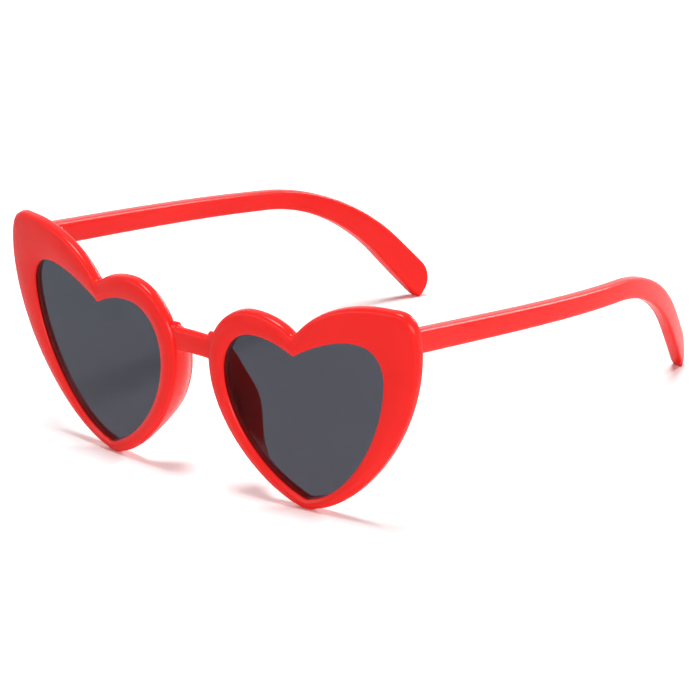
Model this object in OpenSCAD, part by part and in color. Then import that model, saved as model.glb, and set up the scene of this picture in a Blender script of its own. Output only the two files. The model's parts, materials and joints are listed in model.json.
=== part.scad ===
// Heart shaped sunglasses: a moulded front with two heart rims, a slim bridge and nose pads in one
// piece, snap-in tinted lenses, and two slab temples on metal three-knuckle hinges.
// The glasses face -Y and stand open on z = 0, on the two heart tips and the two temple tips.
// The wearer's left is +X. Every piece is drawn for that side, in the wearer's frame (front upright,
// z = 0 at the heart tips, y = 0 at the front of the bridge), then mirrored and set on the ground.

/* [Front] */
// Width across both rims
front_w = 141.6; // [132:0.2:150]
// Gap between the two rims at the bridge
rim_gap = 11.6; // [10:0.1:15]
// Height of a heart rim, tip to upper corner
rim_h = 61.7; // [56:0.1:66]
// Thickness of the front, front face to back
front_t = 3.6; // [3.4:0.1:5]
// Radius of the rounding on the front edges
front_edge_r = 1.1; // [0.6:0.1:1.3]
// Radius of the rounding on the back edges
back_edge_r = 1.4; // [0.6:0.1:1.6]
// Crown of the front face, across the rim
face_crown = 0.35; // [0.1:0.05:0.6]
// Bow of the front from side to side, as a radius
bow_r = 300; // [220:1:500]
// Bow of the front from top to bottom, as a radius
nod_r = 460; // [350:1:900]

/* [Lens opening] */
// Width of the heart opening
opening_w = 50; // [46:0.5:52]
// Height of the heart opening
opening_h = 47.8; // [44:0.2:50]
// Width of the rim on the nose side
nose_rim_w = 5.2; // [4:0.1:6.5]
// Width of the rim under the opening's tip
tip_rim_w = 3.3; // [2.6:0.1:5]
// Rounding of the opening's front and back edges
opening_edge_r = 0.4; // [0.2:0.05:0.45]
// Depth of the lens groove in the rim
groove_d = 0.7; // [0.4:0.05:1]

/* [Lenses] */
// Thickness of a lens
lens_t = 1.8; // [1.4:0.1:2.2]
// How far the lens lies behind the front edge of its opening
lens_inset = 0.5; // [0.45:0.05:0.9]
// Play between a lens and its groove
lens_play = 0.06; // [0.04:0.01:0.12]

/* [Bridge and nose pads] */
// Height of the bridge slab
bridge_h = 6.6; // [5:0.2:8]
// Thickness of the bridge slab
bridge_t = 3.2; // [2.8:0.1:4]
// Height of the middle of the bridge above the heart tips
bridge_z = 40.4; // [36:0.2:43]
// Rise of the bridge's middle above its ends
bridge_arch = 0.3; // [0:0.1:1]
// How far the nose pads stand off the back of the rims
pad_depth = 8.4; // [5:0.2:9.4]
// Radius of the rear edge of the nose pads
pad_edge_r = 1.2; // [0.9:0.1:1.4]

/* [Temples] */
// Length of the straight bar, from the front to the bend
bar_l = 93.2; // [80:0.1:105]
// Radius of the bend over the ear
ear_bend_r = 61; // [40:1:75]
// Length of the turned-down ear piece after the bend
ear_l = 19.1; // [16:0.1:30]
// Downward slope of the straight bar
bar_angle = 13.2; // [8:0.1:15]
// Downward slope of the ear piece
ear_angle = 56.2; // [45:0.1:60]
// Height of the bar at the hinge
bar_h = 6.6; // [5.8:0.1:8]
// Height of the bar at the bend
bend_h = 5.5; // [5:0.1:7]
// Height of the ear piece near its end
ear_h = 7.4; // [6:0.1:9]
// Thickness of the temples along the bar
temple_t = 3.8; // [3:0.1:4.5]
// Thickness of the ear pieces
ear_t = 4.4; // [3.4:0.1:5]
// Radius of the rounding on the temples' long edges
temple_edge_r = 1; // [0.5:0.1:1.3]
// How far a temple's outer face lies inside the edge of the front
temple_step = 2.1; // [1.5:0.1:3.5]
// How far the temple tips curve in towards the head
tip_in = 20.5; // [8:0.1:24]

/* [Hinges] */
// Distance from the top of the rims down to the middle of the hinges
hinge_drop = 9.6; // [8.8:0.1:10.8]
// Outer radius of the knuckles
knuckle_r = 1.3; // [1.1:0.05:1.4]
// Length of each outer knuckle
outer_knuckle_l = 1.4; // [1.2:0.1:1.6]
// Length of the middle knuckle
mid_knuckle_l = 1.4; // [1.2:0.1:1.6]
// Play between the faces of the knuckles
knuckle_play = 0.1; // [0.06:0.01:0.15]
// Radius of the pivot screw's shank
pivot_r = 0.7; // [0.5:0.05:0.8]
// Running clearance of the pivot screw in the knuckles
pivot_play = 0.04; // [0.02:0.01:0.08]
// Thickness of the hinge leaves
leaf_t = 1; // [0.8:0.05:1.2]
// Height of the hinge leaves
leaf_h = 4.4; // [4.2:0.1:4.8]
// Length of the leaf on the front
front_leaf_l = 3.8; // [3.6:0.1:4]
// Length of the leaf on the temple
temple_leaf_l = 9; // [8:0.2:12]
// Gap between the end of a temple and its seat on the front
butt_gap = 0.12; // [0.08:0.02:0.2]

/* [Small screws] */
// Radius of the leaf screws' shank
leaf_screw_r = 0.55; // [0.4:0.05:0.6]
// Radius of the leaf screws' countersunk head
leaf_head_r = 0.95; // [0.8:0.05:1]
// Length of the leaf screws
leaf_screw_l = 2.6; // [2.2:0.1:2.8]
// Play round the leaf screws and between the leaves and their pockets
fit_play = 0.04; // [0.02:0.01:0.08]

/* [Hidden] */

plastic_red = [0.98, 0.07, 0.05];
lens_grey = [0.09, 0.095, 0.115, 0.9];
hinge_metal = [0.75, 0.75, 0.77];
screw_metal = [0.6, 0.6, 0.62];
$fn = 32;

// The rim's outline, nose side first, as shares of rim width and rim height. Each row is one curved
// leg: its start and its two handles. A leg ends where the next one starts, and the last closes.
rim_share = [
    [[0.423, 0.820], [0.386, 0.853], [0.309, 0.885]],
    [[0.230, 0.882], [0.118, 0.880], [0.005, 0.762]],
    [[0.001, 0.610], [-0.009, 0.323], [0.228, 0.066]],
    [[0.396, 0.009], [0.418, -0.003], [0.452, -0.003]],
    [[0.475, 0.010], [0.698, 0.064], [0.993, 0.428]],
    [[1.001, 0.812], [0.999, 0.935], [0.983, 1.003]],
    [[0.877, 0.997], [0.746, 1.006], [0.568, 0.972]],
    [[0.449, 0.823], [0.443, 0.814], [0.433, 0.812]]];

// The opening's outline in the same way, as shares of the opening's width and height.
opening_share = [
    [[0.452, 0.867], [0.389, 0.906], [0.310, 0.937]],
    [[0.220, 0.936], [0.093, 0.938], [0.000, 0.821]],
    [[0.002, 0.652], [0.001, 0.435], [0.174, 0.128]],
    [[0.439, 0.005], [0.457, -0.005], [0.480, -0.005]],
    [[0.494, 0.005], [0.699, 0.042], [0.986, 0.424]],
    [[1.000, 0.811], [0.999, 0.931], [0.939, 1.001]],
    [[0.835, 1.000], [0.710, 0.998], [0.589, 0.938]],
    [[0.481, 0.873], [0.474, 0.863], [0.461, 0.860]]];

// Points drawn on each leg of both outlines, so that the two can be joined point to point.
leg_steps = [9, 13, 16, 4, 17, 11, 13, 3];

// The nose pad's rear edge along the nose side of the rim. Each row is the share of the way along the
// pad's run, the share of pad_depth that it stands off, and its place across the rim as a share of
// the rim's width there.
pad_share = [[0.00, 0.00, 0.30], [0.03, 0.10, 0.33], [0.06, 0.22, 0.40], [0.10, 0.40, 0.52],
    [0.15, 0.60, 0.62], [0.20, 0.76, 0.70], [0.25, 0.87, 0.77], [0.32, 0.96, 0.86],
    [0.40, 1.00, 0.87], [0.47, 1.01, 0.82], [0.54, 0.99, 0.71], [0.60, 0.94, 0.58],
    [0.65, 0.87, 0.49], [0.70, 0.77, 0.43], [0.75, 0.62, 0.41], [0.80, 0.47, 0.41],
    [0.86, 0.33, 0.39], [0.92, 0.19, 0.36], [1.00, 0.00, 0.35]];

rim_w = (front_w - rim_gap)/2;
rim_x = rim_gap/2;
opening_x = rim_x + nose_rim_w;
opening_z = tip_rim_w;
bow_mid_z = 0.47*rim_h;

// Half-angles and segments of the small roundings.
round_steps = 3;
face_steps = 4;

function cubic(a, b, c, d, t) =
    a*pow(1 - t, 3) + 3*b*t*pow(1 - t, 2) + 3*c*t*t*(1 - t) + d*pow(t, 3);
function outline(share, x0, z0, w, h) = [
    for (k = [0:len(share) - 1], i = [0:leg_steps[k] - 1])
        let (a = share[k], e = share[(k + 1)%len(share)][0], t = i/leg_steps[k],
            s = cubic(a[0], a[1], a[2], e, t))
        [x0 + w*s[0], z0 + h*s[1]]];
function unit(v) = v/norm(v);
// The unit normal of a closed outline at point i, on the left of the way that it runs.
function left_normal(p, i) =
    let (n = len(p), d = unit(p[(i + 1)%n] - p[(i + n - 1)%n])) [-d[1], d[0]];
// How far the bowed front lies back at a place.
function bow(x, z) = x*x/(2*bow_r) + pow(z - bow_mid_z, 2)/(2*nod_r);
function bowed(p, y) = [p[0], y + bow(p[0], p[1]), p[1]];
// An arc of a rounding of radius r, from 0 to 90 degrees, as [inset, depth] from the sharp corner.
function rounding(r) = [for (k = [0:round_steps])
    let (a = 90*k/round_steps) [r*(1 - sin(a)), r*(1 - cos(a))]];
function reversed(v) = [for (k = [len(v) - 1:-1:0]) v[k]];

rim_line = outline(rim_share, rim_x, 0, rim_w, rim_h);
opening_line = outline(opening_share, opening_x, opening_z, opening_w, opening_h);
stations = len(rim_line);
// Both outlines run anticlockwise as the wearer sees them, so the plastic of the rim lies on the left
// of the outer line and on the right of the opening's line.
rim_in = [for (i = [0:stations - 1]) left_normal(rim_line, i)];
opening_out = [for (i = [0:stations - 1]) -left_normal(opening_line, i)];

groove_y0 = lens_inset;
groove_y1 = lens_inset + lens_t + 2*lens_play;

// The section through the rim at a station, from the opening's front edge round through the groove,
// the back face and the outer wall to the crowned front face.
function rim_section(i) =
    let (a = opening_line[i], na = opening_out[i], b = rim_line[i], nb = rim_in[i],
        soft = rounding(opening_edge_r), back = rounding(back_edge_r), face = rounding(front_edge_r),
        face_a = a + na*opening_edge_r, face_b = b + nb*front_edge_r)
    concat(
        [for (r = soft) bowed(a + na*r[0], r[1])],
        [bowed(a, groove_y0)],
        [bowed(a + na*groove_d, (groove_y0 + groove_y1)/2)],
        [bowed(a, groove_y1)],
        [for (r = reversed(soft)) bowed(a + na*r[0], front_t - r[1])],
        [for (r = back) bowed(b + nb*r[0], front_t - r[1])],
        [for (r = reversed(face)) bowed(b + nb*r[0], r[1])],
        [for (k = [1:face_steps - 1]) let (t = k/face_steps)
            bowed(face_b + (face_a - face_b)*t, -face_crown*4*t*(1 - t))]);

rim_rows = [for (i = [0:stations - 1]) rim_section(i)];

// Triangles between the rows of a loft. Rows join last to first when closed, and get end caps if not.
function loft_faces(rows, n, closed) = concat(
    [for (i = [0:rows - (closed ? 1 : 2)], j = [0:n - 1])
        let (a = i*n + j, b = i*n + (j + 1)%n, c = ((i + 1)%rows)*n + (j + 1)%n,
            d = ((i + 1)%rows)*n + j) each [[a, b, c], [a, c, d]]],
    closed ? [] : [[for (j = [n - 1:-1:0]) j], [for (j = [0:n - 1]) (rows - 1)*n + j]]);

module loft(rows, closed = false) {
    polyhedron(points = [for (r = rows) each r],
        faces = loft_faces(len(rows), len(rows[0]), closed), convexity = 6);
}

module heart_rim() {
    loft(rim_rows, closed = true);
}

// A lens: crowned faces that follow the bow, and a bevelled edge that seats in the groove.
lens_mid_share = 0.4;
lens_rings_share = [0.66, 0.33];

function lens_ring(inset, y, share) = [for (i = [0:stations - 1])
    let (p = opening_line[i] + opening_out[i]*inset, c = lens_centre())
    bowed(c + (p - c)*share, y)];
function lens_centre() = [opening_x + opening_w/2, opening_z + opening_h*(1 - lens_mid_share)];
function fan(ring, centre, n, flip) = [for (j = [0:n - 1])
    let (a = ring*n + j, b = ring*n + (j + 1)%n) flip ? [b, a, centre] : [a, b, centre]];

module lens() {
    y0 = groove_y0 + lens_play;
    y1 = y0 + lens_t;
    rows = concat(
        [for (s = reversed(lens_rings_share)) lens_ring(-lens_play, y0, s)],
        [lens_ring(-lens_play, y0, 1)],
        [lens_ring(groove_d - lens_play, (y0 + y1)/2, 1)],
        [lens_ring(-lens_play, y1, 1)],
        [for (s = lens_rings_share) lens_ring(-lens_play, y1, s)]);
    n = stations;
    m = len(rows);
    sides = [for (i = [0:m - 2], j = [0:n - 1])
        let (a = i*n + j, b = i*n + (j + 1)%n, c = (i + 1)*n + (j + 1)%n, d = (i + 1)*n + j)
        each [[a, b, c], [a, c, d]]];
    polyhedron(
        points = concat([for (r = rows) each r], [bowed(lens_centre(), y0), bowed(lens_centre(), y1)]),
        faces = concat(sides, fan(0, m*n, n, true), fan(m - 1, m*n + 1, n, false)), convexity = 6);
}

// The bridge: a slab with full-round top and bottom edges, drawn as short bars from rim to rim.
bridge_root = nose_rim_w*0.5;
bridge_bars = 9;
bridge_sides = 18;
sliver = 0.02;

module bridge_bar(x) {
    z = bridge_z + bridge_arch*(1 - pow(x/(rim_x + bridge_root), 2));
    y = (front_t - bridge_t)*0.6 + bow(x, bridge_z);
    r = bridge_t/2;
    for (s = [-1, 1])
        translate([x - sliver/2, y + r, z + s*(bridge_h/2 - r)])
            rotate([0, 90, 0])
                cylinder(r = r, h = sliver, $fn = bridge_sides);
}

module bridge() {
    reach = rim_x + bridge_root;
    for (i = [0:bridge_bars - 1])
        hull() {
            bridge_bar(reach*(2*i/bridge_bars - 1));
            bridge_bar(reach*(2*(i + 1)/bridge_bars - 1));
        }
}

// A nose pad: a fin lofted along the nose side of the rim. It grows out of the rim's back and nose
// wall, and its round rear edge stands off by the share of pad_depth at each rib.
pad_leg0 = leg_steps[0] + leg_steps[1]*0.61;
pad_leg1 = leg_steps[0] + leg_steps[1] + leg_steps[2]*0.74;
pad_root = front_t*0.45;
pad_wall_in = 0.11*nose_rim_w;
pad_arc = 6;

function between(line, f) = let (k = floor(f), t = f - k) line[k]*(1 - t) + line[(k + 1)%len(line)]*t;
function pad_rib(row) =
    let (f = pad_leg0 + (pad_leg1 - pad_leg0)*row[0], b = between(rim_line, f),
        a = between(opening_line, f), w = norm(a - b), u = (a - b)/w,
        in = b + u*pad_wall_in, out = a - u*pad_wall_in*1.6, c = b + u*(w*row[2]),
        r = pad_edge_r, cy = front_t*0.98 + pad_depth*row[1] - r)
    concat(
        [bowed(in, front_t - pad_root), bowed(in, front_t*0.74)],
        [for (k = [0:pad_arc]) let (g = 180 - 180*k/pad_arc)
            bowed(c + u*r*cos(g), cy + r*sin(g))],
        [bowed(out, front_t*0.78), bowed(out, front_t - pad_root)]);

module nose_pad() {
    loft([for (row = reversed(pad_share)) pad_rib(row)]);
}

// Hinge places, in the wearer's frame. The seat stands proud of the bowed back all over.
hinge_z = rim_h - hinge_drop;
temple_out_x = front_w/2 - temple_step;
temple_in_x = temple_out_x - temple_t;
knuckle_air = 0.3;
axis_x = temple_in_x - knuckle_r - knuckle_air;
seat_proud = 0.3;
seat_y = front_t + bow(temple_out_x, hinge_z) + seat_proud;
axis_air = 0.15;
axis_y = seat_y + knuckle_r + axis_air;
barrel_l = 2*outer_knuckle_l + mid_knuckle_l + 2*knuckle_play;
bar_end_y = seat_y + butt_gap;
cut_over = 1;

// The hinge seat: a low rounded block on the back of the rim, flush with the temple's outer face.
seat_edge_r = 0.8;
seat_wall = 0.5;
seat_x0 = axis_x - front_leaf_l - seat_wall;
seat_h = bar_h;

module hinge_seat() {
    hull()
        for (x = [seat_x0 + seat_edge_r, temple_out_x - seat_edge_r], s = [-1, 1])
            translate([x, seat_y, hinge_z + s*(seat_h/2 - seat_edge_r)])
                rotate([90, 0, 0])
                    cylinder(r = seat_edge_r, h = seat_y - bow(x, hinge_z) - front_t*0.6, $fn = 24);
}

leaf_screw_x = axis_x - front_leaf_l*0.63;
leaf_screw_dz = leaf_h*0.26;

module front_leaf_pocket() {
    translate([axis_x - front_leaf_l - fit_play, seat_y - leaf_t - fit_play,
            hinge_z - leaf_h/2 - fit_play])
        cube([front_leaf_l + knuckle_r + 2*fit_play, leaf_t + fit_play + cut_over,
            leaf_h + 2*fit_play]);
}

// A place at each of the two small screws of a leaf on the front, pointing out of the plastic.
module at_front_leaf_screws() {
    for (s = [-1, 1])
        translate([leaf_screw_x, seat_y, hinge_z + s*leaf_screw_dz])
            rotate([-90, 0, 0])
                children();
}

module screw_hole() {
    translate([0, 0, -leaf_screw_l - fit_play])
        cylinder(r = leaf_screw_r + fit_play, h = leaf_screw_l, $fn = 24);
}

module front_half() {
    difference() {
        union() {
            heart_rim();
            nose_pad();
            hinge_seat();
        }
        front_leaf_pocket();
        at_front_leaf_screws()
            screw_hole();
    }
}

// The temple's middle line in the side view, by the distance s from its front end.
bend_turn = ear_angle - bar_angle;
bend_l = ear_bend_r*bend_turn*PI/180;
temple_l = bar_l + bend_l + ear_l;
bar_end_z = hinge_z + (axis_y - bar_end_y)*tan(bar_angle);

function slope_at(s) = s < bar_l ? bar_angle
    : s < bar_l + bend_l ? bar_angle + bend_turn*(s - bar_l)/bend_l : ear_angle;
function along(s, a) = [s*cos(a), -s*sin(a)];
function spine(s) = [bar_end_y, bar_end_z]
    + along(min(s, bar_l), bar_angle)
    + (s > bar_l ? let (a = slope_at(s))
        ear_bend_r*[sin(a) - sin(bar_angle), cos(a) - cos(bar_angle)] : [0, 0])
    + (s > bar_l + bend_l ? along(s - bar_l - bend_l, ear_angle) : [0, 0]);

// The temple's height, by distance: slim at the bend, fuller in the ear piece.
function height_at(s) = s < bar_l ? bar_h + (bend_h - bar_h)*s/bar_l
    : let (t = min(1, (s - bar_l)/(bend_l + ear_l*0.6))) bend_h + (ear_h - bend_h)*t*t*(3 - 2*t);

// The ear piece ends in a long slanting round behind and a short round in front.
end_back_l = 1.05*ear_h;
end_front_l = 0.4*ear_h;
end_low = 0.03*ear_h;
end_power = 1.62;
function quarter(t, p = 2) = pow(max(0, 1 - pow(t, p)), 1/p);
function back_edge(s) = let (h = height_at(s), low = end_low - h/2)
    low + (h/2 - low)*quarter(max(0, (s - temple_l + end_back_l)/end_back_l), end_power);
function front_edge(s) = let (h = height_at(s))
    -h/2 + end_low*(1 - quarter(max(0, (s - temple_l + end_front_l)/end_front_l)));
// The outer face runs straight back past the temple, then curves in towards the head.
in_start_share = 0.13;
in_power = 3.1;
function outer_x(y) = temple_out_x
    - tip_in*pow(max(0, (y - bar_end_y)/temple_reach - in_start_share)/(1 - in_start_share), in_power);
temple_reach = spine(temple_l)[0] - bar_end_y;
end_thin_share = 0.62;
function full_at(s) = temple_t + (ear_t - temple_t)*min(1, max(0, s - bar_l)/bend_l);
function thick_at(s) = let (a = end_front_l*1.2, t = max(0, (s - temple_l + a)/a))
    full_at(s)*(end_thin_share + (1 - end_thin_share)*quarter(t));
square_l = bar_h;

// A section of the temple: a rounded bar. At the hinge end it stands upright, to butt on the front,
// and it turns square to the bar within square_l.
function temple_section(s) =
    let (p = spine(s), turn = slope_at(s)*min(1, s/square_l), k = 1/cos(slope_at(s) - turn),
        up = [sin(turn), cos(turn)], lo = front_edge(s)*k, hi = back_edge(s)*k,
        t = thick_at(s), r = min(temple_edge_r, (hi - lo)*0.45, t*0.45),
        corners = [[1, 1], [-1, 1], [-1, -1], [1, -1]])
    [for (c = corners, e = [0:round_steps])
        let (g = atan2(c[1], c[0]) - 45 + 90*e/round_steps,
            v = (c[1] > 0 ? hi - r : lo + r) + r*sin(g),
            w = -full_at(s)/2 + c[0]*(t/2 - r) + r*cos(g),
            q = p + up*v)
        [outer_x(q[0]) + w, q[0], q[1]]];

bar_rows = 9;
bend_rows = 12;
ear_rows = 6;
end_rows = 8;
temple_stops = concat(
    [0, square_l/2, square_l],
    [for (k = [1:bar_rows]) square_l + (bar_l - square_l)*k/bar_rows],
    [for (k = [1:bend_rows]) bar_l + bend_l*k/bend_rows],
    [for (k = [1:ear_rows]) bar_l + bend_l + (ear_l - end_back_l)*k/ear_rows],
    [for (k = [1:end_rows]) temple_l - end_back_l*(1 - sin(88*k/end_rows))]);
temple_rows = [for (s = temple_stops) temple_section(s)];

// The leaf on the temple lies along the bar, let into its inner face.
module on_temple_leaf() {
    translate([temple_in_x, axis_y, hinge_z])
        rotate([-bar_angle, 0, 0])
            children();
}

temple_leaf_h = leaf_h*0.86;
temple_leaf_y0 = -knuckle_r*0.4;
temple_screw_y = [temple_leaf_l*0.36, temple_leaf_l*0.78];

module temple_leaf_plate() {
    on_temple_leaf()
        translate([0, temple_leaf_y0, -temple_leaf_h/2])
            cube([leaf_t, temple_leaf_l - temple_leaf_y0, temple_leaf_h]);
}

// Its pocket is open at the temple's end face.
module temple_leaf_pocket() {
    on_temple_leaf()
        translate([-cut_over, -knuckle_r - cut_over, -temple_leaf_h/2 - fit_play])
            cube([cut_over + leaf_t + fit_play, temple_leaf_l + knuckle_r + cut_over + fit_play,
                temple_leaf_h + 2*fit_play]);
}

module at_temple_leaf_screws() {
    on_temple_leaf()
        for (y = temple_screw_y)
            translate([0, y, 0])
                rotate([0, -90, 0])
                    children();
}

module temple() {
    difference() {
        loft(temple_rows);
        temple_leaf_pocket();
        at_temple_leaf_screws()
            screw_hole();
    }
}

// Leaf screws: a countersunk head and a plain shank, flush with the leaf.
leaf_head_l = leaf_head_r - leaf_screw_r;

module leaf_screw(play) {
    rotate_extrude($fn = 24)
        polygon([[0, play], [leaf_head_r + play, play], [leaf_head_r + play, -play],
            [leaf_screw_r + play, -leaf_head_l - play], [leaf_screw_r + play, -leaf_screw_l],
            [0, -leaf_screw_l]]);
}

module bore() {
    translate([axis_x, axis_y, hinge_z - barrel_l])
        cylinder(r = pivot_r + pivot_play, h = 2*barrel_l);
}

module knuckle(z0, l) {
    translate([axis_x, axis_y, z0])
        cylinder(r = knuckle_r, h = l);
}

module front_leaf() {
    web = 2*knuckle_r*0.84;
    difference() {
        union() {
            translate([axis_x - front_leaf_l, seat_y - leaf_t, hinge_z - leaf_h/2])
                cube([front_leaf_l + web/2, leaf_t, leaf_h]);
            for (z0 = [hinge_z - barrel_l/2, hinge_z + barrel_l/2 - outer_knuckle_l]) {
                knuckle(z0, outer_knuckle_l);
                translate([axis_x - web/2, seat_y - leaf_t*0.5, z0])
                    cube([web, axis_y - seat_y + leaf_t*0.5, outer_knuckle_l]);
            }
        }
        bore();
        at_front_leaf_screws()
            leaf_screw(fit_play);
    }
}

module temple_leaf() {
    web = 2*knuckle_r*0.84;
    difference() {
        union() {
            temple_leaf_plate();
            knuckle(hinge_z - mid_knuckle_l/2, mid_knuckle_l);
            translate([axis_x, axis_y - web/2, hinge_z - mid_knuckle_l/2])
                cube([temple_in_x - axis_x + leaf_t*0.5, web, mid_knuckle_l]);
        }
        bore();
        at_temple_leaf_screws()
            leaf_screw(fit_play);
    }
}

// The pivot screw: low slotted head on the upper knuckle, plain shank through all three.
pivot_head_r = knuckle_r*0.92;
pivot_head_l = pivot_r*0.4;
slot_w = pivot_r*0.5;

module pivot_screw() {
    top = hinge_z + barrel_l/2;
    difference() {
        union() {
            translate([axis_x, axis_y, hinge_z - barrel_l/2])
                cylinder(r = pivot_r, h = barrel_l);
            translate([axis_x, axis_y, top])
                cylinder(r = pivot_head_r, h = pivot_head_l);
        }
        translate([axis_x - pivot_head_r - cut_over, axis_y - slot_w/2, top + pivot_head_l/2])
            cube([2*(pivot_head_r + cut_over), slot_w, pivot_head_l]);
    }
}

// Standing on the ground. The front leans until the heart tips and the temple tips both touch.
rim_points = [for (r = rim_rows) each r];
temple_points = [for (r = temple_rows) each r];
function drop(p, a) = p[2]*cos(a) + p[1]*sin(a);
function lowest(pts, a) = let (d = [for (p = pts) drop(p, a)], m = min(d))
    pts[search(m, d)[0]];
function lean(a, n) = n == 0 ? a
    : let (h = lowest(rim_points, a), e = lowest(temple_points, a))
        lean(atan((h[2] - e[2])/(e[1] - h[1])), n - 1);
stand_lean = lean(0, 6);
stand_z = -drop(lowest(rim_points, stand_lean), stand_lean);
stand_ys = [for (p = concat(rim_points, temple_points)) p[1]*cos(stand_lean) - p[2]*sin(stand_lean)];
stand_y = -(min(stand_ys) + max(stand_ys))/2;

module stand(side = 1) {
    translate([0, stand_y, stand_z])
        rotate([stand_lean, 0, 0])
            mirror([side < 0 ? 1 : 0, 0, 0])
                children();
}

module front_frame() {
    color(plastic_red)
        stand() {
            union() {
                front_half();
                mirror([1, 0, 0])
                    front_half();
                bridge();
            }
        }
}

module lens_left() {
    color(lens_grey)
        stand()
            lens();
}

module lens_right() {
    color(lens_grey)
        stand(-1)
            lens();
}

module temple_left() {
    color(plastic_red)
        stand()
            temple();
}

module temple_right() {
    color(plastic_red)
        stand(-1)
            temple();
}

module hinge_front_leaf_left() {
    color(hinge_metal)
        stand()
            front_leaf();
}

module hinge_front_leaf_right() {
    color(hinge_metal)
        stand(-1)
            front_leaf();
}

module hinge_temple_leaf_left() {
    color(hinge_metal)
        stand()
            temple_leaf();
}

module hinge_temple_leaf_right() {
    color(hinge_metal)
        stand(-1)
            temple_leaf();
}

module hinge_screw_left() {
    color(screw_metal)
        stand()
            pivot_screw();
}

module hinge_screw_right() {
    color(screw_metal)
        stand(-1)
            pivot_screw();
}

module front_leaf_screws_left() {
    color(screw_metal)
        stand()
            at_front_leaf_screws()
                leaf_screw(0);
}

module front_leaf_screws_right() {
    color(screw_metal)
        stand(-1)
            at_front_leaf_screws()
                leaf_screw(0);
}

module temple_leaf_screws_left() {
    color(screw_metal)
        stand()
            at_temple_leaf_screws()
                leaf_screw(0);
}

module temple_leaf_screws_right() {
    color(screw_metal)
        stand(-1)
            at_temple_leaf_screws()
                leaf_screw(0);
}

echo(lean = stand_lean, shift = [0, stand_y, stand_z], axis = [axis_x, axis_y, hinge_z]);

front_frame();
lens_left();
lens_right();
temple_left();
temple_right();
hinge_front_leaf_left();
hinge_front_leaf_right();
hinge_temple_leaf_left();
hinge_temple_leaf_right();
hinge_screw_left();
hinge_screw_right();
front_leaf_screws_left();
front_leaf_screws_right();
temple_leaf_screws_left();
temple_leaf_screws_right();
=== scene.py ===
import json
from math import atan2, cos, pi, radians, sin, sqrt, tan

import bmesh
import bpy
from mathutils import Matrix, Vector
from mathutils.geometry import interpolate_bezier


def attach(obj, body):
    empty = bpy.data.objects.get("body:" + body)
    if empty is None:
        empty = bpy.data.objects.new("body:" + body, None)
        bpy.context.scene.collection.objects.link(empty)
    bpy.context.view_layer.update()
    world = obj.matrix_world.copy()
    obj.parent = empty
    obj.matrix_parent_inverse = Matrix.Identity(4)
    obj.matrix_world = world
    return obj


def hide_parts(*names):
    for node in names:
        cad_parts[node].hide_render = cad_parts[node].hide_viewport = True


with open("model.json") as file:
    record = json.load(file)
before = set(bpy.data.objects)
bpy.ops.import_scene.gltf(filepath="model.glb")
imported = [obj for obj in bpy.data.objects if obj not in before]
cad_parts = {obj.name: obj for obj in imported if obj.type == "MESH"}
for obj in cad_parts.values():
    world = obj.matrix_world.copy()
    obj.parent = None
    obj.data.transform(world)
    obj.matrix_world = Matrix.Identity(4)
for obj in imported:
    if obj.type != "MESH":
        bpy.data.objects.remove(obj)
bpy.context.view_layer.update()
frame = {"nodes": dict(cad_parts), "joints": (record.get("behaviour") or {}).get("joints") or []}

print("frame loaded:", len(frame["nodes"]), "nodes")

# Everything is drawn in the wearer's frame, in millimetres: front upright, heart tips at z = 0 and
# the wearer's left at +x. The matrix toGround, by the hinge, sets it down in the CAD frame.

# merging distance in millimetres, and the angle from which an edge stays crisp
meshing = {"mergeWithin": 0.0005, "sharpAngle": 38}


def startRing(bm, count, place):
    # a circle of numbered vertices, each put where its station belongs
    station = bm.verts.layers.int.get("station") or bm.verts.layers.int.new("station")
    ring = bmesh.ops.create_circle(bm, cap_ends=False, radius=1, segments=count)["verts"]
    for i, v in enumerate(ring):
        v[station] = i
        v.co = place(i)
    return list({e for v in ring for e in v.link_edges})


def growRing(bm, edges, place):
    # extrudes a closed ring of edges, then puts each new vertex where its station belongs
    grown = bmesh.ops.extrude_edge_only(bm, edges=edges)["geom"]
    station = bm.verts.layers.int["station"]
    for v in grown:
        if isinstance(v, bmesh.types.BMVert):
            v.co = place(v[station])
    return [e for e in grown if isinstance(e, bmesh.types.BMEdge)]


def closeMesh(bm):
    bmesh.ops.remove_doubles(bm, verts=bm.verts, dist=meshing["mergeWithin"])
    bmesh.ops.recalc_face_normals(bm, faces=bm.faces)


def addObject(name, bm):
    mesh = bpy.data.meshes.new(name)
    bm.to_mesh(mesh)
    bm.free()
    made = bpy.data.objects.new(name, mesh)
    bpy.context.scene.collection.objects.link(made)
    return made


def finishPiece(name, bm, body, slotName, node, material):
    closeMesh(bm)
    for face in bm.faces:
        face.smooth = True
    for edge in bm.edges:
        edge.smooth = not (edge.is_manifold
                           and edge.calc_face_angle(0) > radians(meshing["sharpAngle"]))
    bmesh.ops.transform(bm, matrix=toGround, verts=bm.verts)
    piece = addObject(name, bm)
    piece.data.materials.append(material)
    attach(piece, body)
    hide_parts(node)


def makeBox(low, size):
    box = bmesh.new()
    bmesh.ops.create_cube(box, size=1)
    bmesh.ops.translate(box, vec=(0.5, 0.5, 0.5), verts=box.verts)
    bmesh.ops.scale(box, vec=size, verts=box.verts)
    bmesh.ops.translate(box, vec=low, verts=box.verts)
    return box


def carve(bm, box):
    # takes a box out of a closed mesh
    body, cutter = addObject("carved", bm), addObject("cutter", box)
    cut = body.modifiers.new("cut", "BOOLEAN")
    cut.operation, cut.solver, cut.object = "DIFFERENCE", "EXACT", cutter
    bpy.context.view_layer.update()
    carved = bmesh.new()
    carved.from_object(body, bpy.context.evaluated_depsgraph_get())
    for thing in (body, cutter):
        bpy.data.meshes.remove(thing.data)  # its object goes with it
    return carved


def smoothStep(t):
    t = min(1, max(0, t))
    return t * t * (3 - 2 * t)


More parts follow.
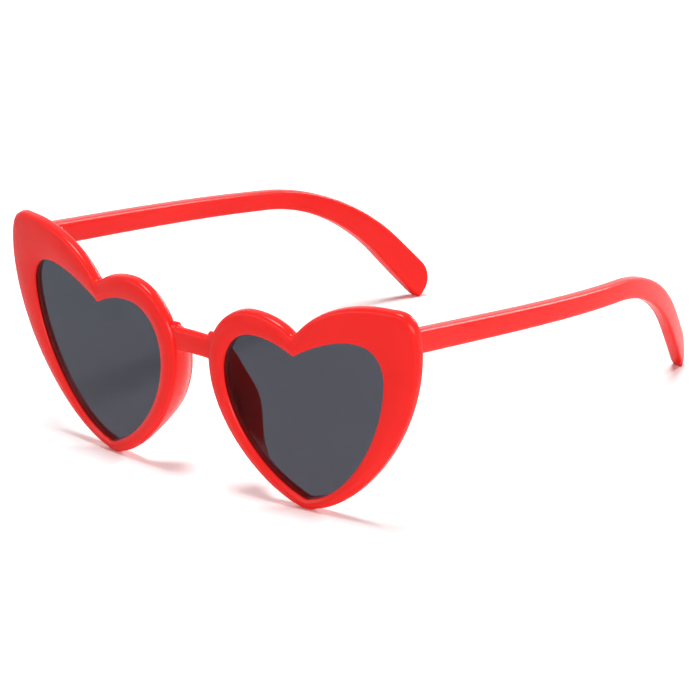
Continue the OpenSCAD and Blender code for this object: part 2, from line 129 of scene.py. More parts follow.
def rounding(radius, steps):
    # (inset, depth) from a sharp corner, from the face round to the wall
    return [(radius * (1 - sin(pi / 2 * k / steps)), radius * (1 - cos(pi / 2 * k / steps)))
            for k in range(steps + 1)]


front = {"width": 141.6, "rimGap": 11.6, "rimHeight": 61.7, "thickness": 3.6,
         "noseRim": 5.2, "tipRim": 3.3, "openingWidth": 50, "openingHeight": 47.8,
         "frontRound": 1.1, "backRound": 1.4, "roundSteps": 5,
         "openingRound": 0.4, "openingSteps": 3,
         "crown": 0.35, "crownRows": 5,
         "bowRadius": 300, "nodRadius": 460, "nodMiddle": 0.47,
         # rows on the wall of the opening, as shares of the thickness
         "wallRows": (0.35, 0.65)}
rimWidth = (front["width"] - front["rimGap"]) / 2
rimX = front["rimGap"] / 2

# each leg of an outline: start and its two handles, as shares of width and height
rimLegs = [((0.423, 0.820), (0.386, 0.853), (0.309, 0.885)),
           ((0.230, 0.882), (0.118, 0.880), (0.005, 0.762)),
           ((0.001, 0.610), (-0.009, 0.323), (0.228, 0.066)),
           ((0.396, 0.009), (0.418, -0.003), (0.452, -0.003)),
           ((0.475, 0.010), (0.698, 0.064), (0.993, 0.428)),
           ((1.001, 0.812), (0.999, 0.935), (0.983, 1.003)),
           ((0.877, 0.997), (0.746, 1.006), (0.568, 0.972)),
           ((0.449, 0.823), (0.443, 0.814), (0.433, 0.812))]
openingLegs = [((0.452, 0.867), (0.389, 0.906), (0.310, 0.937)),
               ((0.220, 0.936), (0.093, 0.938), (0.000, 0.821)),
               ((0.002, 0.652), (0.001, 0.435), (0.174, 0.128)),
               ((0.439, 0.005), (0.457, -0.005), (0.480, -0.005)),
               ((0.494, 0.005), (0.699, 0.042), (0.986, 0.424)),
               ((1.000, 0.811), (0.999, 0.931), (0.939, 1.001)),
               ((0.835, 1.000), (0.710, 0.998), (0.589, 0.938)),
               ((0.481, 0.873), (0.474, 0.863), (0.461, 0.860))]
legSteps = [14, 22, 28, 7, 30, 18, 22, 6]


def outline(legs, x0, z0, width, height):
    points = []
    for k, leg in enumerate(legs):
        corners = [Vector((x0 + width * p[0], z0 + height * p[1]))
                   for p in (*leg, legs[(k + 1) % len(legs)][0])]
        points += interpolate_bezier(*corners, legSteps[k] + 1)[:-1]
    return [p.to_2d() for p in points]


def leftNormals(points):
    count = len(points)
    runs = [(points[(i + 1) % count] - points[i - 1]).normalized() for i in range(count)]
    return [Vector((-d.y, d.x)) for d in runs]


rimLine = outline(rimLegs, rimX, 0, rimWidth, front["rimHeight"])
openingLine = outline(openingLegs, rimX + front["noseRim"], front["tipRim"],
                      front["openingWidth"], front["openingHeight"])
stations = len(rimLine)
rimIn = leftNormals(rimLine)
openingOut = [-n for n in leftNormals(openingLine)]
# each station's place on the outline, as the number of its leg and a fraction
legAt = [k + i / steps for k, steps in enumerate(legSteps) for i in range(steps)]


def bow(x, z):
    return (x * x / (2 * front["bowRadius"])
            + (z - front["nodMiddle"] * front["rimHeight"]) ** 2 / (2 * front["nodRadius"]))


def bowed(p, depth):
    return Vector((p[0], depth + bow(p[0], p[1]), p[1]))


# the nose pads are fins that grow out of the back of the rims
pads = {"depth": 8.4, "edgeRound": 1.2,
        # the run along the outline, on legs 1 and 2, and how long each of the two legs counts
        "firstLeg": 1.68, "lastLeg": 2.74, "legLengths": (13, 16),
        # share of the run, share of the depth, place across the rim
        "ribs": [(0.00, 0.00, 0.28), (0.03, 0.09, 0.28), (0.06, 0.18, 0.28), (0.10, 0.31, 0.28),
                 (0.15, 0.46, 0.30), (0.20, 0.58, 0.37), (0.25, 0.69, 0.48), (0.32, 0.81, 0.63),
                 (0.40, 0.92, 0.74), (0.47, 0.99, 0.79), (0.54, 1.02, 0.78), (0.60, 0.99, 0.72),
                 (0.65, 0.92, 0.63), (0.70, 0.80, 0.53), (0.75, 0.65, 0.46), (0.80, 0.48, 0.43),
                 (0.86, 0.33, 0.39), (0.92, 0.19, 0.36), (1.00, 0.00, 0.35)],
        # where the fin starts, as a share of the front's thickness, and how its foot spreads
        "root": 0.98, "footOut": 0.15,
        # the fin is fully itself from this share of its depth on
        "fullFrom": 0.3, "flankRows": 6, "tipRows": 8,
        # how the flank towards the nose swells
        "swellStart": 0.06, "swell": 2.3}


def alongPad(leg):
    # distance from the start of leg 2
    return (leg - 2) * pads["legLengths"][0 if leg < 2 else 1]


def padAt(i):
    # how far the pad stands off at a station, and where across the rim, both as shares
    start, end = alongPad(pads["firstLeg"]), alongPad(pads["lastLeg"])
    share = (alongPad(legAt[i]) - start) / (end - start)
    for low, high in zip(pads["ribs"], pads["ribs"][1:]):
        if low[0] <= share <= high[0]:
            t = (share - low[0]) / (high[0] - low[0])
            return low[1] + (high[1] - low[1]) * t, low[2] + (high[2] - low[2]) * t
    return 0, 0


def finRows(a, b, inner, standOff, across):
    # from the foot beside the opening, round the fin's tip and down its flank towards the nose
    thick, radius, tip = front["thickness"], pads["edgeRound"], pads["tipRows"]
    width = (a - b).length
    inward = (a - b) / width
    middle = b + inward * (width * across)
    deep = thick * pads["root"] + pads["depth"] * standOff - radius
    near, far = middle + inward * radius, middle - inward * radius
    foot = near + inward * pads["footOut"]
    rows = []
    for k in range(pads["flankRows"]):
        t = (k + 1) / (pads["flankRows"] + 1)
        rows.append((inner.lerp(foot, t).lerp(foot.lerp(near, t), t),
                     thick + (deep - thick) * t * t))
    for k in range(tip + 1):
        rows.append((middle + inward * radius * cos(pi * k / tip),
                     deep + radius * sin(pi * k / tip)))
    low = thick - front["backRound"]
    count = pads["flankRows"] + front["roundSteps"] + 1
    for k in range(count):
        # the flank towards the nose swells, and turns away only near the fin's tip
        t = (k + 1) / count
        run = t * t / (t + pads["swellStart"]) * (1 + pads["swellStart"])
        ease = 1 - max(0, 1 - run) ** pads["swell"]
        rows.append((far.lerp(b, ease), deep + (low - deep) * t))
    return rows


def backRows(i, inner):
    # the back of the rim and its rounding, with the pad growing out of it along the nose side
    a, b, nb = openingLine[i], rimLine[i], rimIn[i]
    thick, radius = front["thickness"], front["backRound"]
    outer = b + nb * radius
    count = 2 * pads["flankRows"] + pads["tipRows"] + 1
    rows = [(inner.lerp(outer, (k + 1) / (count + 1)), thick) for k in range(count)]
    rows += [(b + nb * inset, thick - depth)
             for inset, depth in rounding(radius, front["roundSteps"])]
    standOff, across = padAt(i)
    if standOff == 0:
        return rows
    grow = smoothStep(standOff / pads["fullFrom"])
    return [(p.lerp(q, grow), y + (z - y) * grow)
            for (p, y), (q, z) in zip(rows, finRows(a, b, inner, standOff, across))]


def rimSection(i):
    # from the opening's front edge round the back and the outer wall to the crowned face
    a, na, b, nb = openingLine[i], openingOut[i], rimLine[i], rimIn[i]
    thick, faceRound = front["thickness"], front["frontRound"]
    edge = rounding(front["openingRound"], front["openingSteps"])
    edgeA, edgeB = a + na * front["openingRound"], b + nb * faceRound
    rows = [(a + na * inset, depth) for inset, depth in edge]
    rows += [(a, thick * share) for share in front["wallRows"]]
    rows += [(a + na * inset, thick - depth) for inset, depth in reversed(edge)]
    rows += backRows(i, edgeA)
    rows += [(b + nb * inset, depth)
             for inset, depth in reversed(rounding(faceRound, front["roundSteps"]))]
    for k in range(front["crownRows"]):
        t = (k + 1) / (front["crownRows"] + 1)
        rows.append((edgeB.lerp(edgeA, t), -front["crown"] * 4 * t * (1 - t)))
    return [bowed(p, depth) for p, depth in rows]


def buildRim(bm):
    sections = [rimSection(i) for i in range(stations)]
    ring = startRing(bm, stations, lambda i: sections[i][0])
    for row in range(1, len(sections[0])):
        ring = growRing(bm, ring, lambda i: sections[i][row])
    growRing(bm, ring, lambda i: sections[i][0])
    closeMesh(bm)


bridge = {"height": 6.6, "thickness": 2.6, "back": 3.44, "middle": 40.4, "arch": 0.3, "sides": 28,
          # how deep it reaches into the rims, as a share of their width on the nose side
          "root": 0.5,
          # the fillet at the rims, how much of it shows behind, and its rows' distances from a rim
          "fillet": 1.3, "filletBehind": 0.5,
          "rows": (4.6, 3.4, 2.4, 1.7, 1.3, 1, 0.7, 0.45, 0.25, 0.1, 0)}
bridgeReach = rimX + front["noseRim"] * bridge["root"]


def bridgeSection(x, i):
    radius, fillet = bridge["thickness"] / 2, bridge["fillet"]
    turn = 2 * pi * (i + 0.5) / bridge["sides"]
    into = max(0, min(abs(x), rimX) - (rimX - fillet))
    flare = fillet - sqrt(fillet ** 2 - into * into)
    y = bridge["back"] - radius + bow(x, bridge["middle"])
    z = bridge["middle"] + bridge["arch"] * (1 - (x / bridgeReach) ** 2)
    half = bridge["height"] / 2 - radius
    up = (radius + flare) * sin(turn) + (half if sin(turn) > 0 else -half)
    deep = (radius + (flare * bridge["filletBehind"] if cos(turn) > 0 else 0)) * cos(turn)
    return Vector((x, y + deep, z + up))


def buildBridge(bm):
    half = [rimX - row for row in bridge["rows"]] + [bridgeReach]
    stops = [-x for x in reversed(half)] + [0] + half
    ring = startRing(bm, bridge["sides"], lambda i: bridgeSection(stops[0], i))
    bmesh.ops.contextual_create(bm, geom=ring)
    for x in stops[1:]:
        ring = growRing(bm, ring, lambda i: bridgeSection(x, i))
    bmesh.ops.contextual_create(bm, geom=ring)


temple = {"bar": 93.2, "bendRadius": 61, "ear": 19.1, "barAngle": 13.2, "earAngle": 56.2,
          "barHeight": 6.6, "bendHeight": 5.5, "earHeight": 7.4, "thickness": 3.8, "earThick": 4.4,
          # how far the outer face lies inside the edge of the front
          "step": 2.1,
          # how far the tip curves in, from which share of the length on, and how suddenly
          "tipIn": 20.5, "inStart": 0.13, "inPower": 3.1,
          # the ear piece is full at this share of its length
          "fullAt": 0.6,
          # the end's round behind and in front and its lowest point, as shares of the ear's height
          "endBack": 1.05, "endFront": 0.4, "endLow": 0.03, "endPower": 1.75,
          # thickness left at the very end, and where it starts to go, in lengths of the front round
          "endThick": 0.62, "thinFrom": 1.2,
          # the long edges, and the most that a rounding takes of a small section
          "edgeRound": 1, "mostRound": 0.45, "cornerSteps": 5,
          # crown of the outer face where the temple is at least that high
          "crown": 0.12, "crownHeight": 5, "faceSteps": 4,
          # rows of the loft: the first ones' distances, the number on each stretch, and how far
          # round the end, in degrees, the last one lies
          "firstRows": (0, 0.15, 0.6), "barRows": 26, "bendRows": 26, "earRows": 8, "endRows": 18,
          "lastTurn": 88}
hinge = {"drop": 9.6, "knuckle": 1.3, "leaf": 1, "leafHeight": 4.4, "frontLeaf": 3.8,
         "templeLeaf": 9, "play": 0.04, "butt": 0.12, "knuckleAir": 0.3, "axisAir": 0.15,
         "seatProud": 0.3, "seatRound": 0.8, "roundSteps": 6, "seatWall": 0.5,
         # the seat's small back edge
         "edge": 0.12, "edgeSteps": 2,
         # where the seat starts in the rim, as a share of its thickness
         "seatFrom": 0.4,
         # height of the leaf on the temple, as a share of the other one's
         "templeLeafShare": 0.86,
         # how far a cutter reaches into the open
         "overcut": 1}
templeOut = front["width"] / 2 - temple["step"]
templeIn = templeOut - temple["thickness"]
hingeZ = front["rimHeight"] - hinge["drop"]
axisX = templeIn - hinge["knuckle"] - hinge["knuckleAir"]
seatY = front["thickness"] + bow(templeOut, hingeZ) + hinge["seatProud"]
axisY = seatY + hinge["knuckle"] + hinge["axisAir"]

# the hinge's axis, upright here, goes to where the frame has the joint and leans as it does there
fold = next(joint for joint in frame["joints"] if joint["name"] == "left_fold")
lean = atan2(-fold["axis"][1], fold["axis"][2])
toGround = (Matrix.Translation(fold["pos_m"]) @ Matrix.Rotation(lean, 4, "X")
            @ Matrix.Scale(0.001, 4) @ Matrix.Translation((-axisX, -axisY, -hingeZ)))


def buildSeat():
    x0 = axisX - hinge["frontLeaf"] - hinge["seatWall"]
    y0 = bow(axisX, hingeZ) + front["thickness"] * hinge["seatFrom"]
    height = temple["barHeight"]
    seat = makeBox((x0, y0, hingeZ - height / 2), (templeOut - x0, seatY - y0, height))
    uprights = [e for e in seat.edges if abs(e.verts[0].co.y - e.verts[1].co.y) > hinge["edge"]]
    bmesh.ops.bevel(seat, geom=uprights, offset=hinge["seatRound"], segments=hinge["roundSteps"],
                    profile=0.5, affect="EDGES", material=-1)
    rim = [e for e in seat.edges if all(v.co.y > seatY - hinge["edge"] for v in e.verts)]
    bmesh.ops.bevel(seat, geom=rim, offset=hinge["edge"], segments=hinge["edgeSteps"],
                    profile=0.5, affect="EDGES", material=-1)
    play = hinge["play"]
    low = (axisX - hinge["frontLeaf"] - play, seatY - hinge["leaf"] - play,
           hingeZ - hinge["leafHeight"] / 2 - play)
    size = (hinge["frontLeaf"] + hinge["knuckle"] + 2 * play,
            hinge["leaf"] + play + hinge["overcut"], hinge["leafHeight"] + 2 * play)
    return carve(seat, makeBox(low, size))


def buildFront():
    bm = bmesh.new()
    buildRim(bm)
    seat = buildSeat()
    seatMesh = bpy.data.meshes.new("seat")
    seat.to_mesh(seatMesh)
    seat.free()
    bm.from_mesh(seatMesh)
    bpy.data.meshes.remove(seatMesh)
    # a merge distance of -1 merges nothing
    bmesh.ops.mirror(bm, geom=bm.verts[:] + bm.edges[:] + bm.faces[:], axis="X", merge_dist=-1)
    buildBridge(bm)
    return bm


slopeA, slopeB = radians(temple["barAngle"]), radians(temple["earAngle"])
bendLength = temple["bendRadius"] * (slopeB - slopeA)
templeLength = temple["bar"] + bendLength + temple["ear"]
barEndY = seatY + hinge["butt"]
barEndZ = hingeZ + (axisY - barEndY) * tan(slopeA)
endBack, endFront, endLow = (temple["earHeight"] * temple[name]
                             for name in ("endBack", "endFront", "endLow"))


# The temple is worked out by the distance s from its front end, along its middle line.
def slopeAt(s):
    return slopeA + (slopeB - slopeA) * min(1, max(0, (s - temple["bar"]) / bendLength))


def spine(s):
    y, z = barEndY, barEndZ
    straight = min(s, temple["bar"])
    y, z = y + straight * cos(slopeA), z - straight * sin(slopeA)
    if s > temple["bar"]:
        a = slopeAt(s)
        y += temple["bendRadius"] * (sin(a) - sin(slopeA))
        z += temple["bendRadius"] * (cos(a) - cos(slopeA))
    rest = s - temple["bar"] - bendLength
    if rest > 0:
        y, z = y + rest * cos(slopeB), z - rest * sin(slopeB)
    return y, z


def heightAt(s):
    bar, bend = temple["barHeight"], temple["bendHeight"]
    if s < temple["bar"]:
        return bar + (bend - bar) * s / temple["bar"]
    t = (s - temple["bar"]) / (bendLength + temple["ear"] * temple["fullAt"])
    return bend + (temple["earHeight"] - bend) * smoothStep(t)


def quarter(t, power=2):
    # falls from 1 at t = 0 to 0 at t = 1, along a quarter round
    return max(0, 1 - max(0, t) ** power) ** (1 / power)


def outerX(y):
    run = (y - barEndY) / (spine(templeLength)[0] - barEndY)
    share = max(0, run - temple["inStart"]) / (1 - temple["inStart"])
    return templeOut - temple["tipIn"] * share ** temple["inPower"]


def templeOutline(s, stretch):
    # the section's points, as distances out from the outer face and up from the middle line
    height = heightAt(s)
    base = endLow - height / 2
    shut = quarter((s - templeLength + endBack) / endBack, temple["endPower"])
    high = stretch * (base + (height / 2 - base) * shut)
    low = stretch * (-height / 2
                     + endLow * (1 - quarter((s - templeLength + endFront) / endFront)))
    thin = endFront * temple["thinFrom"]
    grown = min(1, max(0, s - temple["bar"]) / bendLength)
    full = temple["thickness"] + (temple["earThick"] - temple["thickness"]) * grown
    left = temple["endThick"]
    thick = full * (left + (1 - left) * quarter((s - templeLength + thin) / thin))
    radius = min(temple["edgeRound"], (high - low) * temple["mostRound"],
                 thick * temple["mostRound"])
    points = []
    for cx, cz in ((1, 1), (-1, 1), (-1, -1), (1, -1)):
        for e in range(temple["cornerSteps"] + 1):
            g = atan2(cz, cx) - pi / 4 + pi / 2 * e / temple["cornerSteps"]
            points.append((-full / 2 + cx * (thick / 2 - radius) + radius * cos(g),
                           (high - radius if cz > 0 else low + radius) + radius * sin(g)))
        # a few rows across each side face, the outer one a touch crowned
        if cz == cx:
            continue
        side = points[-1][0]
        top, bottom = (high - radius, low + radius) if cx < 0 else (low + radius, high - radius)
        for k in range(1, temple["faceSteps"]):
            t = k / temple["faceSteps"]
            swell = temple["crown"] * 4 * t * (1 - t) if cx > 0 else 0
            points.append((side + swell * min(1, (high - low) / temple["crownHeight"]),
                           top + (bottom - top) * t))
    return points


def templeSection(s):
    # upright at the front end, then square to the middle line
    py, pz = spine(s)
    turn = slopeAt(s) * min(1, s / temple["barHeight"])
    placed = []
    for w, v in templeOutline(s, 1 / cos(slopeAt(s) - turn)):
        y, z = py + v * sin(turn), pz + v * cos(turn)
        placed.append(Vector((outerX(y) + w, y, z)))
    return placed


def templeStops():
    bar, bend, ear, end = (temple[name] for name in ("barRows", "bendRows", "earRows", "endRows"))
    upright = temple["barHeight"]
    stops = [*temple["firstRows"], upright / 2, upright]
    stops += [upright + (temple["bar"] - upright) * k / bar for k in range(1, bar + 1)]
    stops += [temple["bar"] + bendLength * k / bend for k in range(1, bend + 1)]
    stops += [temple["bar"] + bendLength + (temple["ear"] - endBack) * k / ear
              for k in range(1, ear + 1)]
    # the rows draw closer together as the end's round gets steeper
    stops += [templeLength - endBack * (1 - sin(radians(temple["lastTurn"] * k / end)))
              for k in range(1, end + 1)]
    return stops


def buildTemple():
    bm = bmesh.new()
    sections = [templeSection(s) for s in templeStops()]
    ring = startRing(bm, len(sections[0]), lambda i: sections[0][i])
    bmesh.ops.contextual_create(bm, geom=ring)
    for section in sections[1:]:
        ring = growRing(bm, ring, lambda i: section[i])
    bmesh.ops.contextual_create(bm, geom=ring)
    bmesh.ops.recalc_face_normals(bm, faces=bm.faces)
    play, over = hinge["play"], hinge["overcut"]
    height = hinge["leafHeight"] * hinge["templeLeafShare"]
    pocket = makeBox((-over, -hinge["knuckle"] - over, -height / 2 - play),
                     (over + hinge["leaf"] + play,
                      hinge["templeLeaf"] + hinge["knuckle"] + over + play, height + 2 * play))
    bmesh.ops.rotate(pocket, matrix=Matrix.Rotation(-slopeA, 3, "X"), verts=pocket.verts)
    bmesh.ops.translate(pocket, vec=(templeIn, axisY, hingeZ), verts=pocket.verts)
    return carve(bm, pocket)


lens = {"thickness": 1.8, "inset": 0.5, "play": 0.06, "groove": 0.7,
        # the middle's height as a share of the opening's, and the sizes of the rings round it
        "middle": 0.6, "rings": (0.97, 0.9, 0.8, 0.66, 0.5, 0.33, 0.16)}


def buildLens():
    bm = bmesh.new()
    centre = Vector((rimX + front["noseRim"] + front["openingWidth"] / 2,
                     front["tipRim"] + front["openingHeight"] * lens["middle"]))
    nearY = lens["inset"] + lens["play"]
    farY = nearY + lens["thickness"]

    def ringAt(inset, depth, share):
        def place(i):
            p = openingLine[i] + openingOut[i] * inset
            return bowed(centre + (p - centre) * share, depth)
        return place
    rows = [ringAt(-lens["play"], nearY, share) for share in reversed(lens["rings"])]
    rows += [ringAt(-lens["play"], nearY, 1),
             ringAt(lens["groove"] - lens["play"], (nearY + farY) / 2, 1),
             ringAt(-lens["play"], farY, 1)]
    rows += [ringAt(-lens["play"], farY, share) for share in lens["rings"]]
    first = ring = startRing(bm, stations, rows[0])
    for row in rows[1:]:
        ring = growRing(bm, ring, row)
    # both faces close on one vertex at the middle
    for edges, depth in ((first, nearY), (ring, farY)):
        growRing(bm, edges, lambda i: bowed(centre, depth))
    return bm


def addNode(tree, kind, **values):
    # a value goes to the node's own setting of that name, or else to its input
    node = tree.nodes.new(kind)
    for key, value in values.items():
        if hasattr(node, key):
            setattr(node, key, value)
        else:
            node.inputs[key.replace("_", " ")].default_value = value
    return node


def addNoise(tree, where, **values):
    noise = addNode(tree, "ShaderNodeTexNoise", **values)
    tree.links.new(where, noise.inputs["Vector"])
    return noise


def addMath(tree, operation, *values):
    # each value is a number or another node's output
    node = addNode(tree, "ShaderNodeMath", operation=operation)
    for socket, value in zip(node.inputs, values):
        if isinstance(value, (int, float)):
            socket.default_value = value
        else:
            tree.links.new(value, socket)
    return node.outputs[0]


def addRamp(tree, source, target, stops):
    ramp = tree.nodes.new("ShaderNodeValToRGB")
    for element, (position, colour) in zip(ramp.color_ramp.elements, stops):
        element.position, element.color = position, colour
    tree.links.new(source, ramp.inputs["Fac"])
    tree.links.new(ramp.outputs["Color"], target)


def addBump(tree, height, shader, strength, distance):
    bump = addNode(tree, "ShaderNodeBump", Strength=strength, Distance=distance)
    tree.links.new(height, bump.inputs["Height"])
    tree.links.new(bump.outputs["Normal"], shader.inputs["Normal"])


# three noises, and how much the fine one adds to the wave's height
skin = {"drift": {"Detail": 2.0, "Roughness": 0.5},
        "fine": {"Scale": 900.0, "Detail": 3.0, "Roughness": 0.6},
        "wave": {"Scale": 160.0, "Detail": 1.0, "Roughness": 0.4},
        "fineHeight": 0.12}


def makeMouldedSkin():
    # the faint unevenness of a moulded, tumbled surface: colour drift, gloss drift, waviness
    group = bpy.data.node_groups.new("mouldedSkin", "ShaderNodeTree")
    for name in ("Drift Scale", "Gloss", "Gloss Drift"):
        group.interface.new_socket(name, in_out="INPUT", socket_type="NodeSocketFloat")
    for name in ("Drift", "Roughness", "Height"):
        group.interface.new_socket(name, in_out="OUTPUT", socket_type="NodeSocketFloat")
    start, end = group.nodes.new("NodeGroupInput"), group.nodes.new("NodeGroupOutput")
    where = group.nodes.new("ShaderNodeTexCoord").outputs["Object"]
    drift, fine, wave = (addNoise(group, where, **skin[name]) for name in ("drift", "fine", "wave"))
    group.links.new(start.outputs["Drift Scale"], drift.inputs["Scale"])
    centred = addMath(group, "SUBTRACT", fine.outputs["Fac"], 0.5)
    gloss = addMath(group, "MULTIPLY_ADD", centred, start.outputs["Gloss Drift"],
                    start.outputs["Gloss"])
    height = addMath(group, "MULTIPLY_ADD", fine.outputs["Fac"], skin["fineHeight"],
                     wave.outputs["Fac"])
    group.links.new(drift.outputs["Fac"], end.inputs["Drift"])
    group.links.new(gloss, end.inputs["Roughness"])
    group.links.new(height, end.inputs["Height"])
    return group


mouldedSkin = makeMouldedSkin()


def newMaterial(name):
    material = bpy.data.materials.new(name)
    material.use_nodes = True
    tree = material.node_tree
    return material, tree, tree.nodes["Principled BSDF"]


redPlastic = {"colours": ((0.3, (0.90, 0.009, 0.006, 1)), (0.7, (0.95, 0.013, 0.009, 1))),
              "skin": {"Drift Scale": 45.0, "Gloss": 0.2, "Gloss Drift": 0.08},
              "ior": 1.45, "shine": 0.3, "bump": 0.06, "bumpDepth": 0.00004}


def makeRedPlastic(name, look):
    material, tree, shader = newMaterial(name)
    surface = tree.nodes.new("ShaderNodeGroup")
    surface.node_tree = mouldedSkin
    for key, value in look["skin"].items():
        surface.inputs[key].default_value = value
    addRamp(tree, surface.outputs["Drift"], shader.inputs["Base Color"], look["colours"])
    tree.links.new(surface.outputs["Roughness"], shader.inputs["Roughness"])
    addBump(tree, surface.outputs["Height"], shader, look["bump"], look["bumpDepth"])
    shader.inputs["IOR"].default_value = look["ior"]
    shader.inputs["Specular IOR Level"].default_value = look["shine"]
    return material


lensTint = {"colours": ((0.35, (0.090, 0.096, 0.118, 1)), (0.65, (0.093, 0.099, 0.121, 1))),
            "drift": {"Scale": 30.0, "Detail": 1.0}, "ior": 1.1, "roughness": 0.0}


def makeLensTint(name, look):
    material, tree, shader = newMaterial(name)
    where = tree.nodes.new("ShaderNodeTexCoord").outputs["Object"]
    drift = addNoise(tree, where, **look["drift"])
    addRamp(tree, drift.outputs["Fac"], shader.inputs["Base Color"], look["colours"])
    shader.inputs["Roughness"].default_value = look["roughness"]
    shader.inputs["Transmission Weight"].default_value = 1.0
    shader.inputs["IOR"].default_value = look["ior"]
    return material


steel = {"leaf": {"colours": ((0.3, (0.55, 0.55, 0.57, 1)), (0.7, (0.72, 0.72, 0.74, 1))),
                  "roughFrom": 0.21},
         "screw": {"colours": ((0.3, (0.42, 0.42, 0.44, 1)), (0.7, (0.62, 0.62, 0.64, 1))),
                   "roughFrom": 0.15},
         "grain": {"Scale": 1500.0, "Detail": 4.0}, "grainStretch": (1, 1, 9),
         "roughSpread": 0.15, "bump": 0.15, "bumpDepth": 0.00002}


def makeSteel(name, look):
    material, tree, shader = newMaterial(name)
    where = tree.nodes.new("ShaderNodeTexCoord").outputs["Object"]
    stretched = addNode(tree, "ShaderNodeMapping", Scale=steel["grainStretch"])
    tree.links.new(where, stretched.inputs["Vector"])
    grain = addNoise(tree, stretched.outputs["Vector"], **steel["grain"]).outputs["Fac"]
    addRamp(tree, grain, shader.inputs["Base Color"], look["colours"])
    rough = addMath(tree, "MULTIPLY_ADD", grain, steel["roughSpread"], look["roughFrom"])
    tree.links.new(rough, shader.inputs["Roughness"])
    addBump(tree, grain, shader, steel["bump"], steel["bumpDepth"])
    shader.inputs["Metallic"].default_value = 1.0
    return material


frontRed = makeRedPlastic("frontRed", redPlastic)
templeRed = makeRedPlastic("templeRed", redPlastic)
greyTint = makeLensTint("greyTint", lensTint)
leafSteel = makeSteel("leafSteel", steel["leaf"])
screwSteel = makeSteel("screwSteel", steel["screw"])
print("materials ready")

finishPiece("front", buildFront(), "front", "front_plastic", "front_frame", frontRed)
print("front done")

for side, sign in (("left", 1), ("right", -1)):
    for kind, made, slotName, finish, body in (
            ("lens", buildLens(), "lens_tint", greyTint, "front"),
            ("temple", buildTemple(), "temple_plastic", templeRed, side + "_temple")):
        bmesh.ops.scale(made, vec=(sign, 1, 1), verts=made.verts)
        finishPiece(kind + side.capitalize(), made, body, slotName, kind + "_" + side, finish)
print("lenses and temples done")

# the hinges and their screws stay as the frame has them, in steel
for name, node in frame["nodes"].items():
    if node.hide_render:
        continue
    wanted = leafSteel if "leaf" in name and "screw" not in name else screwSteel
    if not node.material_slots:
        node.data.materials.append(wanted)
    for slot in node.material_slots:
        slot.material = wanted
print("hinges done")

studio = {"floorRadius": 0.6, "floorSides": 96, "floor": 0.86, "floorRoughness": 0.9,
          # the floor's grey as the camera sees it, and as it is mirrored or seen through the lenses
          "seenFloor": 1.25, "lensFloor": 0.78,
          # the world's light on the object, where its white background is 1
          "sky": 0.12,
          # what the lights aim at
          "target": (0, 0, 0.03),
          # place, width, height, power
          "lights": {"overhead": ((0.0, -0.13, 1.5), 0.6, 0.6, 17.2),
                     "frontLight": ((-0.7, -1.8, 0.35), 2.2, 0.6, 6.0),
                     "sideLight": ((1.7, -0.8, 0.35), 2.2, 0.6, 19.5),
                     "backLight": ((0.4, 1.3, 0.75), 0.9, 0.6, 13.0)}}


def anyRay(tree, path):
    # one for a ray that comes straight from the camera, through a lens or off a glossy face
    seen = addMath(tree, "MAXIMUM", path.outputs["Is Camera Ray"], path.outputs["Is Glossy Ray"])
    return addMath(tree, "MAXIMUM", seen, path.outputs["Is Transmission Ray"])


def addLevel(tree, switch, low, high):
    level = addNode(tree, "ShaderNodeMapRange", From_Min=0.0, From_Max=1.0, To_Min=low,
                    To_Max=high)
    tree.links.new(switch, level.inputs["Value"])
    return level.outputs["Result"]


def buildFloor():
    bm = bmesh.new()
    bmesh.ops.create_circle(bm, cap_ends=True, radius=studio["floorRadius"],
                            segments=studio["floorSides"])
    floor = addObject("floor", bm)
    material, tree, shader = newMaterial("paper")
    shader.inputs["Base Color"].default_value = (studio["floor"],) * 3 + (1,)
    shader.inputs["Roughness"].default_value = studio["floorRoughness"]
    shader.inputs["Specular IOR Level"].default_value = 0.0
    # seen straight, the paper is blown out white but for the contact shadows; mirrored or seen
    # through the lenses it is a light grey
    blown = tree.nodes.new("ShaderNodeBsdfDiffuse")
    path = tree.nodes.new("ShaderNodeLightPath")
    level = addLevel(tree, path.outputs["Is Camera Ray"], studio["lensFloor"],
                     studio["seenFloor"])
    tree.links.new(level, blown.inputs["Color"])
    mix = tree.nodes.new("ShaderNodeMixShader")
    tree.links.new(anyRay(tree, path), mix.inputs["Fac"])
    tree.links.new(shader.outputs["BSDF"], mix.inputs[1])
    tree.links.new(blown.outputs["BSDF"], mix.inputs[2])
    tree.links.new(mix.outputs["Shader"], tree.nodes["Material Output"].inputs["Surface"])
    floor.data.materials.append(material)


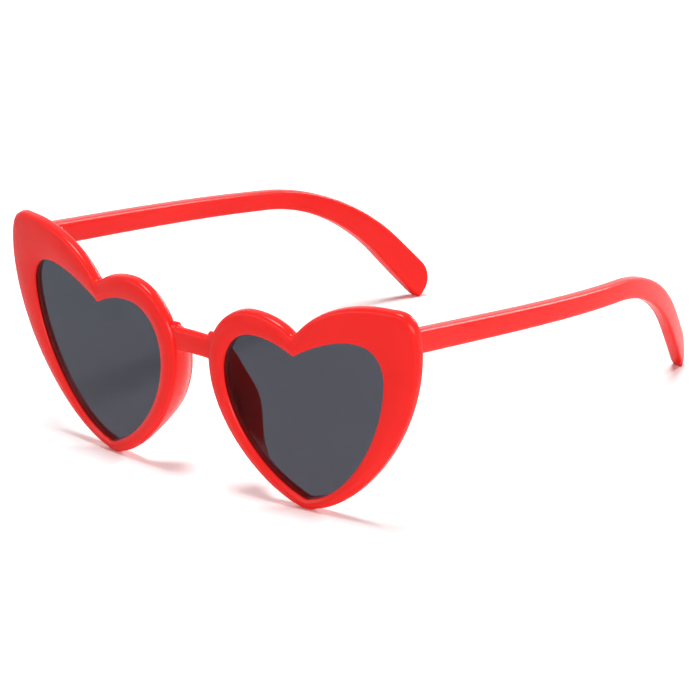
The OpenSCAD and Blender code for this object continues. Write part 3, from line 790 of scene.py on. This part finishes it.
def buildWorld():
    world = bpy.data.worlds.new("studio")
    bpy.context.scene.world = world
    world.use_nodes = True
    tree = world.node_tree
    backdrop = tree.nodes["Background"]
    backdrop.inputs["Color"].default_value = (1, 1, 1, 1)
    path = tree.nodes.new("ShaderNodeLightPath")
    tree.links.new(addLevel(tree, anyRay(tree, path), studio["sky"], 1.0),
                   backdrop.inputs["Strength"])


def addSoftLight(name, place, width, height, power):
    light = bpy.data.lights.new(name, "AREA")
    light.shape = "ELLIPSE"
    light.size, light.size_y, light.energy = width, height, power
    lamp = bpy.data.objects.new(name, light)
    lamp.location = place
    lamp.rotation_mode = "QUATERNION"
    aim = Vector(studio["target"]) - Vector(place)
    lamp.rotation_quaternion = aim.to_track_quat("-Z", "Y")
    bpy.context.scene.collection.objects.link(lamp)


# angles, and distances in the wearer's frame
view = {"azimuth": 41.52, "elevation": 24.16, "roll": -4.37, "distance": 1372.4,
        "right": 41.88, "up": 6.26, "centre": (0, 0.4, 28.8),
        # focal length in pixels of the photograph, its width, and the sensor's
        "focal": 5206.8, "pixels": 700, "sensor": 36, "clip": (0.01, 50)}


def addCamera():
    a, e, r = (radians(view[k]) for k in ("azimuth", "elevation", "roll"))
    back = Vector((sin(a) * cos(e), -cos(a) * cos(e), sin(e)))
    right = Vector((cos(a), sin(a), 0))
    up = back.cross(right)
    place = (back * view["distance"] + right * view["right"] + up * view["up"]
             + Vector(view["centre"]))
    turned = [cos(r) * right + sin(r) * up, -sin(r) * right + cos(r) * up, back]
    data = bpy.data.cameras.new("camera")
    data.sensor_width, data.lens = view["sensor"], view["focal"] / view["pixels"] * view["sensor"]
    data.clip_start, data.clip_end = view["clip"]
    camera = bpy.data.objects.new("camera", data)
    camera.matrix_world = (Matrix.Translation(toGround @ place) @ Matrix.Rotation(lean, 4, "X")
                           @ Matrix(turned).transposed().to_4x4())
    bpy.context.scene.collection.objects.link(camera)
    bpy.context.scene.camera = camera


buildFloor()
buildWorld()
for name, (place, width, height, power) in studio["lights"].items():
    addSoftLight(name, place, width, height, power)
addCamera()
bpy.context.scene.view_settings.view_transform = "Standard"
print("stage ready")
